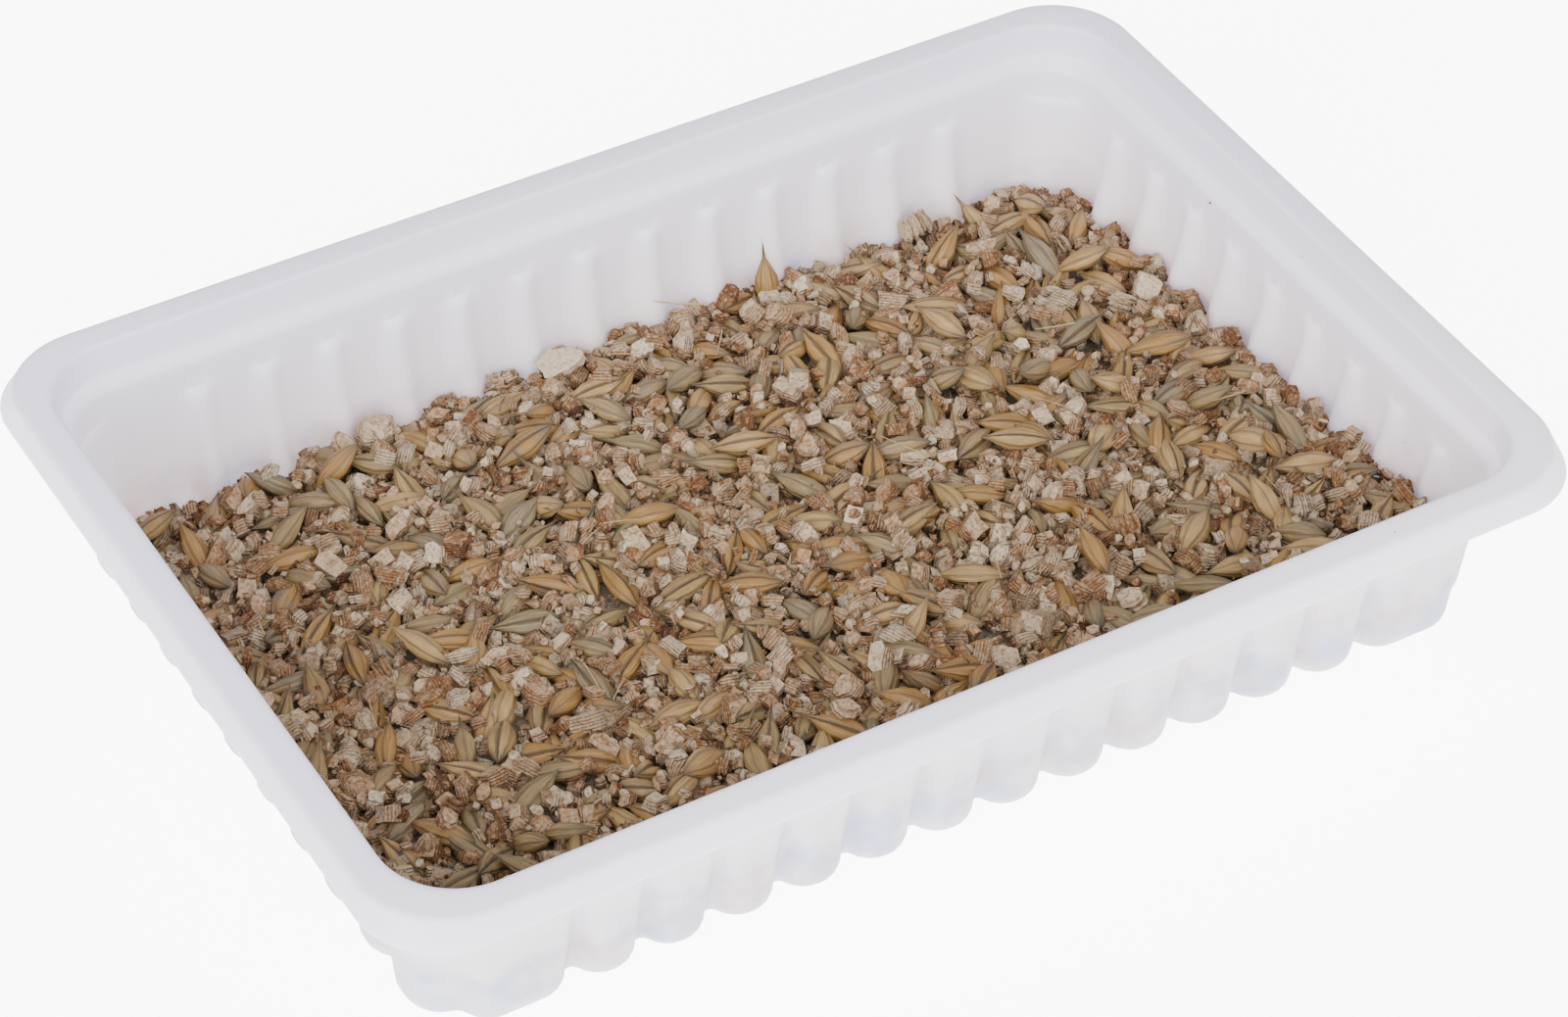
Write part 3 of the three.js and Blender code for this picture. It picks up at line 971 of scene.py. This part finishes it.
class Heap:
    # the surface of the filling as it grows
    def __init__(self, below):
        halfLength, halfWidth = halfSizes(0)
        self.xs = (np.arange(int(2 * halfLength / heapStep)) + 0.5) * heapStep - halfLength
        self.ys = (np.arange(int(2 * halfWidth / heapStep)) + 0.5) * heapStep - halfWidth
        gridX, gridY = np.meshgrid(self.xs, self.ys, indexing="ij")
        ripples = 0.35 * np.sin(gridX / 9.0 + 1.0) * np.cos(gridY / 7.0)
        swells = 0.3 * np.sin(gridX / 17.0 - gridY / 12.0)
        self.target = fillHeight(gridX, gridY) + (ripples + swells)
        self.level = self.target - below

    def window(self, x, y, reach):
        halfLength, halfWidth = halfSizes(0)
        column = int((x + halfLength) / heapStep)
        row = int((y + halfWidth) / heapStep)
        size = max(1, int(reach / heapStep))
        return slice(max(0, column - size), column + size + 1), slice(max(0, row - size), row + size + 1)

    def under(self, x, y, reach, measure=np.mean):
        return float(measure(self.level[self.window(x, y, reach)]))

    def need(self, x, y, reach):
        window = self.window(x, y, reach)
        return float((self.target[window] - self.level[window]).mean())

    def raiseTo(self, x, y, reach, top):
        window = self.window(x, y, reach)
        fromX, fromY = np.meshgrid(self.xs[window[0]] - x, self.ys[window[1]] - y, indexing="ij")
        away = np.hypot(fromX, fromY) / max(reach, heapStep)
        dome = top - 0.35 * reach * np.clip(away, 0, 1) ** 2
        self.level[window] = np.where(away <= 1, np.maximum(self.level[window], dome), self.level[window])


def spotAt(x, y, z):
    return np.array((x, y, z)) * mm


def sized(turned, *size):
    return np.array(turned) @ np.diag([side * mm for side in size])


def leaned(heading, pitch, roll=0.0):
    # raises the shape's +X end by the pitch and turns it to the heading
    return Matrix.Rotation(heading, 3, "Z") @ Matrix.Rotation(-pitch, 3, "Y") @ Matrix.Rotation(roll, 3, "X")


granuleShape = {"length": (0.95, 1.55), "height": (0.45, 0.95)}  # as shares of the width
nudge = {"tries": 6, "share": 0.995}  # how a granule that pokes out is moved inwards


def layGranules(heap, rng, shapes, plan):
    # lays granules in the lowest of a few places tried, one try for each of the count, leaving out those
    # that find no room
    copies = []
    halfX, halfY = halfSizes(trayShape["ledgeFoot"][0])
    for _ in range(plan["count"]):
        width = min(plan["largest"], rng.lognormvariate(math.log(plan["width"]), plan["spread"]))
        length, height = (width * value for value in drawEach(rng, granuleShape, "length", "height"))
        tried = [(rng.uniform(-halfX, halfX), rng.uniform(-halfY, halfY)) for _ in range(plan["tries"])]
        x, y = max(tried, key=lambda spot: heap.need(*spot, width / 2))
        z = heap.under(x, y, 0.45 * width) + plan["sit"] * height
        gap = wallDistance(x, y, z)
        if gap < 0:
            continue
        tilted = Euler((rng.gauss(0, plan["tilt"]), rng.gauss(0, plan["tilt"]), 0)).to_matrix()
        turned = Euler((0, 0, rng.uniform(0, fullTurn))).to_matrix() @ tilted
        turn = sized(turned, length, width, height)
        tint = rng.betavariate(*granuleTint)
        which = rng.randrange(len(shapes))
        for _ in range(nudge["tries"]):
            centre = spotAt(x, y, z)
            clear = gap > length or not pokesOut(shapes[which], centre, turn)
            if clear:
                break
            x *= nudge["share"]
            y *= nudge["share"]
        if clear:
            copies.append((which, centre, turn, tint))
            heap.raiseTo(x, y, 0.5 * width, z + 0.42 * height)
    return copies


# barley

grainShape = {
    "length": 11.0,
    "width": 3.95,
    "thickness": 3.4,
    "sides": 10,
    "rings": 9,
    "shoulder": (0.8, 0.96),
    "blunt": (0.92, 1.15),
    "sharp": (1.3, 1.7),
    "arch": (-0.12, 0.2),
    "swerve": (-0.07, 0.07),
    "crease": (0.25, 0.42),
    "rib": 1.04,
    "furrow": 0.95,
}


def modelGrain(name, rng, beak):
    # a sphere drawn out to a blunt end and a pointed one, with five ribs and a deep crease along the belly
    shape = grainShape
    sides = shape["sides"]
    sphere = bpy.ops.mesh.primitive_uv_sphere_add
    thing = startFrom(sphere, name, segments=sides, ring_count=shape["rings"], radius=0.5)
    shoulder, blunt, sharp = drawEach(rng, shape, "shoulder", "blunt", "sharp")
    arch, swerve, crease = drawEach(rng, shape, "arch", "swerve", "crease")
    mesh = thing.data
    onRing = next(vertex for vertex in mesh.vertices if math.hypot(vertex.co.x, vertex.co.y) > 0.1)
    first = math.atan2(onRing.co.y, onRing.co.x)
    spokes = []
    poles = [abs(vertex.co.z) > 0.499 for vertex in mesh.vertices]
    for vertex in mesh.vertices:
        along = vertex.co.z
        spoke = round((math.atan2(vertex.co.y, vertex.co.x) - first) / fullTurn * sides) % sides
        spokes.append(spoke)
        angle = spoke / sides * fullTurn - math.pi / 2
        share = (along + 0.5) ** shoulder
        girth = math.sin(math.pi * share) ** (blunt if share < 0.5 else sharp) if 0 < share < 1 else 0.0
        ribbed = shape["rib"] if spoke % 2 else shape["furrow"]
        if spoke == 0:
            ribbed = 1 - crease
        across = 0.5 * girth * ribbed * math.cos(angle)
        up = 0.5 * girth * ribbed * math.sin(angle)
        bent = 0.25 - along ** 2
        drawn = beak * max(0.0, (along - 0.4) * 10)
        vertex.co = (along + drawn, across + swerve * bent, up + arch * bent)
    for face in mesh.polygons:
        rounds = {corner: (spokes[corner] / sides + 0.5) % 1 for corner in face.vertices}
        onSide = sorted(value for corner, value in rounds.items() if not poles[corner])
        middle = onSide[len(onSide) // 2]
        for loop in face.loop_indices:
            corner = mesh.loops[loop].vertex_index
            step = 0.0 if poles[corner] else (rounds[corner] - middle + 0.5) % 1 - 0.5
            mesh.uv_layers[0].data[loop].uv = (middle + step, mesh.vertices[corner].co.x + 0.5)
    return shapeData(thing)


densePatches = [
    {"x": 64.0, "y": 36.0, "reach": 17.0, "share": 0.3},
    {"x": 12.0, "y": 42.0, "reach": 14.0, "share": 0.1},
    {"x": 70.0, "y": -8.0, "reach": 20.0, "share": 0.1},
    {"x": -30.0, "y": -38.0, "reach": 30.0, "share": 0.1},
]


grainMargin = 14.0


def grainSpot(rng):
    halfX, halfY = halfSizes(grainMargin)
    draw = rng.random()
    for patch in densePatches:
        if draw < patch["share"]:
            x = rng.gauss(patch["x"], patch["reach"])
            y = rng.gauss(patch["y"], patch["reach"])
            if abs(x) < halfX and abs(y) < halfY:
                return x, y
        draw -= patch["share"]
    return rng.uniform(-halfX, halfX), rng.uniform(-halfY, halfY)


def lowestCentre(rise, thickness):
    # how low a grain may lie with neither end in the tray's floor
    return trayShape["wall"] + 0.5 * (rise + thickness)


def standGrains(heap, shapeCount):
    copies = []
    for index, grain in enumerate(standingGrains):
        x, y = grain["at"]
        heading, pitch = math.radians(grain["heading"]), math.radians(grain["pitch"])
        width, thickness = grainShape["width"], grainShape["thickness"]
        turn = sized(leaned(heading, pitch, index), grain["length"], width, thickness)
        rise = grain["length"] * math.sin(pitch)
        z = max(lowestCentre(rise, thickness), heap.under(x, y, 1.4) + 0.12 * rise)
        copies.append((shapeCount - 1 - index, spotAt(x, y, z), turn, 0.1 + 0.25 * index))
    return copies


def layGrains(heap, rng, shapes, plan):
    copies = standGrains(heap, len(shapes))
    taken = [(*grain["at"], plan["apart"]) for grain in standingGrains]
    taken.extend((*lump["at"], plan["clearOfLumps"]) for lump in lumpPlaces)
    while len(copies) < plan["count"]:
        for _ in range(plan["tries"]):
            x, y = grainSpot(rng)
            heading = rng.uniform(0, math.pi)
            near = [spot for spot in taken if math.hypot(spot[0] - x, spot[1] - y) < spot[2]]
            if not near:
                break
        length = grainShape["length"] * rng.uniform(0.84, 1.1)
        width = grainShape["width"] * rng.uniform(0.84, 1.1)
        thickness = grainShape["thickness"] * rng.uniform(0.85, 1.1)
        direction = Vector((math.cos(heading), math.sin(heading)))
        ends = [Vector((x, y)) + direction * (side * 0.4 * length) for side in (-1, 1)]
        grounds = [heap.under(end.x, end.y, 1.2) for end in ends]
        ground = max(heap.under(x, y, 1.4), 0.5 * sum(grounds))
        pitch = math.atan2(grounds[1] - grounds[0], 0.8 * length) + rng.gauss(0, plan["tilt"])
        lowest = lowestCentre(length * abs(math.sin(pitch)), thickness)
        z = max(lowest, ground + rng.uniform(*plan["sit"]) * thickness)
        gap = min(wallDistance(end.x, end.y, z) for end in ends)
        if near or gap < plan["clearOfWall"]:
            continue
        roll = rng.gauss(0, 0.5) + (math.pi if rng.random() < plan["bellyUp"] else 0)
        turn = sized(leaned(heading, pitch, roll), length, width, thickness)
        which = rng.randrange(len(shapes))
        centre = spotAt(x, y, z)
        if gap < 0.5 * length and pokesOut(shapes[which], centre, turn):
            continue
        copies.append((which, centre, turn, rng.random()))
        taken.append((x, y, plan["apart"]))
        for share in np.linspace(-0.42, 0.42, 7):
            at = Vector((x, y)) + direction * (share * length)
            reach = 0.5 * width * math.sqrt(max(0.05, 1 - (share * 2) ** 2))
            top = z + share * length * math.sin(pitch) + 0.42 * thickness * (1 - (share * 2) ** 2)
            heap.raiseTo(at.x, at.y, reach, top)
    return copies


# larger lumps of vermiculite: a rough crest, a pale disc, a standing accordion and a plate

lumpPlaces = [
    {"at": (-38.2, 50.4), "size": (7.2, 6.2, 6.8), "turn": (12, -6, 20), "sunk": 0.05, "tint": 0.28},
    {"at": (-7.6, 51.0), "size": (7.4, 4.8, 2.3), "turn": (10, -13, 2), "sunk": -0.35, "tint": 0.2},
    {"at": (54.8, 51.4), "size": (4.8, 3.8, 4.8), "turn": (12, 78, 12), "sunk": -0.3, "tint": 0.3},
    {"at": (76.6, 20.6), "size": (4.8, 4.0, 2.0), "turn": (28, -20, 40), "sunk": -0.5, "tint": 0.2},
]


def modelLumps():
    rng = random.Random(60)
    return [
        modelLump("roughLump", 0.62),
        modelStack("paleDisc", rng, 18, 8, 0.2, groove=0.07, narrowest=0.7),
        modelStack("accordion", rng, 8, 20, 0.3, groove=0.16, bow=0.3),
        modelCrumb("plate", rng, cuts=3, rough=0.03),
    ]


def layLumps(heap):
    copies = []
    for index, lump in enumerate(lumpPlaces):
        x, y = lump["at"]
        turned = Euler([math.radians(degrees) for degrees in lump["turn"]]).to_matrix()
        turn = sized(turned, *lump["size"])
        half = 0.5 * float(np.abs(turn[2]).max()) / mm
        z = heap.under(x, y, 1.6) + half * (1 - lump["sunk"] * 2)
        copies.append((index, spotAt(x, y, z), turn, lump["tint"]))
        heap.raiseTo(x, y, 0.4 * lump["size"][1], z + 0.2 * half)
    return copies


# three grains that stand up at the far wall, and dry awns

standingGrains = [
    {"at": (28.6, 52.2), "heading": 75, "pitch": 68, "length": 9.6},
    {"at": (64.6, 49.4), "heading": 120, "pitch": 45, "length": 9.6},
    {"at": (4.6, 51.2), "heading": 184, "pitch": 24, "length": 9.4},
]
awnPlan = {"count": 16, "length": (3.5, 7.5), "width": 0.3, "margin": 16.0, "bow": (0.4, 1.4)}
farAwn = {"root": (17.0, 51.0, 7.8), "tip": (10.0, 53.6, 9.4), "width": 0.55}


def modelAwn(name, rng):
    # a thin dry bristle, tapered and a little bent
    thing = startFrom(bpy.ops.mesh.primitive_cylinder_add, name, vertices=5, radius=0.5, depth=1.0)
    cutInBands(thing, 6)
    bow = rng.uniform(*awnPlan["bow"])
    for vertex in thing.data.vertices:
        along = vertex.co.z
        thin = 0.62 - 0.76 * along ** 2 - 0.3 * along
        vertex.co = (along, vertex.co.x * thin + bow * (0.25 - along ** 2), vertex.co.y * thin)
    return shapeData(thing)


def layAwns(heap, rng, shapeCount, plan):
    copies = []
    halfX, halfY = halfSizes(plan["margin"])
    for _ in range(plan["count"]):
        x, y = rng.uniform(-halfX, halfX), rng.uniform(-halfY, halfY)
        turned = leaned(rng.uniform(0, fullTurn), -rng.gauss(0, 0.15))
        turn = sized(turned, rng.uniform(*plan["length"]), plan["width"], plan["width"])
        z = heap.under(x, y, 1.5, np.max) + 0.1
        copies.append((rng.randrange(shapeCount), spotAt(x, y, z), turn, 0.5))
    root, tip = Vector(farAwn["root"]), Vector(farAwn["tip"])
    turned = (tip - root).to_track_quat("X", "Z").to_matrix()
    turn = sized(turned, (tip - root).length, farAwn["width"], farAwn["width"])
    copies.append((0, spotAt(*(root + tip) / 2), turn, 0.5))
    return copies


# specks of dust on the plastic: near where each one lies, and how long it is

specks = [
    ((64.4, 59.7, 32.0), 0.35),
    ((59.6, -62.4, 32.0), 0.4),
    ((83.9, 41.9, 13.7), 0.4),
    ((84.6, 20.9, 25.5), 0.3),
    ((84.5, 17.2, 24.3), 0.75),
    ((84.7, 16.4, 27.6), 0.25),
    ((84.7, -3.4, 28.0), 0.4),
    ((84.6, 5.1, 24.9), 0.35),
    ((84.1, 0.6, 16.3), 0.3),
    ((84.1, -34.0, 16.1), 0.35),
    ((84.3, -18.0, 19.0), 0.3),
]


def laySpecks(tray, rng, shapeCount):
    copies = []
    for near, length in specks:
        _, spot, normal, _ = tray.closest_point_on_mesh(Vector(near) * mm)
        upright = normal.to_track_quat("Z", "Y").to_matrix()
        turned = upright @ Matrix.Rotation(rng.uniform(0, fullTurn), 3, "Z")
        turn = sized(turned, length, 0.5 * length, 0.3 * length)
        copies.append((rng.randrange(shapeCount), np.array(spot), turn, rng.random()))
    return copies


def layerPlan(**values):
    # how one layer of granules is laid: widths in millimetres, tilt in radians
    return {"sit": 0.3, **values}


granulePlans = {
    "under": layerPlan(count=3500, width=2.1, spread=0.26, largest=3.2, tries=5, tilt=0.6),
    "large": layerPlan(count=46, width=3.0, spread=0.18, largest=4.2, tries=1, tilt=0.7),
    "top": layerPlan(count=4000, width=1.68, spread=0.34, largest=3.1, tries=3, tilt=0.7),
    "debris": layerPlan(count=3400, width=0.8, spread=0.3, largest=1.3, tries=5, tilt=0.9),
}
granuleTint = (2.4, 3.0)  # how the tints spread from pale to rusty
grainPlan = {
    "count": 480,
    "apart": 3.7,
    "clearOfLumps": 6.0,
    "clearOfWall": 0.6,
    "tries": 40,
    "sit": (-0.2, 0.28),
    "tilt": 0.26,
    "bellyUp": 0.5,
}


def makeFilling():
    rng = random.Random(4711)
    heap = Heap(bodyShape["belowTop"])
    granules = modelGranules(11)
    debris = modelDebris(23)
    lumps = modelLumps()
    grainRandom = random.Random(300)
    grains = [modelGrain("grain%d" % index, grainRandom, max(0.0, 0.09 * (index - 5))) for index in range(9)]
    awns = [modelAwn("awn%d" % index, grainRandom) for index in range(3)]
    accordions = [modelStack("large%d" % index, rng, 7, 11, 0.3, bow=0.2) for index in range(4)]
    under = layGranules(heap, rng, granules, granulePlans["under"])
    lumpCopies = layLumps(heap)
    grainCopies = layGrains(heap, rng, grains, grainPlan)
    large = layGranules(heap, rng, accordions, granulePlans["large"])
    top = layGranules(heap, rng, granules, granulePlans["top"])
    debrisCopies = layGranules(heap, rng, debris, granulePlans["debris"])
    for name, shapes, copies, roundBelow, material in (
        ("granulesBelow", granules, under, 55, shadedVermiculite),
        ("granulesOnTop", granules, top, 55, vermiculite),
        ("largeGranules", accordions, large, 40, vermiculite),
        # the fine debris lies in the gaps between granules and gets the vermiculite with painted shade
        ("fineDebris", debris, debrisCopies, 30, shadedVermiculite),
        ("vermiculiteLumps", lumps, lumpCopies, 40, paleVermiculite),
        ("barleyGrains", grains, grainCopies, 80, husk),
        ("dryAwns", awns, layAwns(heap, rng, len(awns), awnPlan), 60, straw),
    ):
        thing = scatterCopies(name, shapes, copies, roundBelow)
        markBed(thing, material)
        print(name, len(copies), "copies,", len(thing.data.polygons), "faces")
    dust = scatterCopies("dustSpecks", debris, laySpecks(whiteTray, rng, len(debris)), 30)
    dust.data.materials.append(speckDirt)
    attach(dust, "root")


makeFilling()
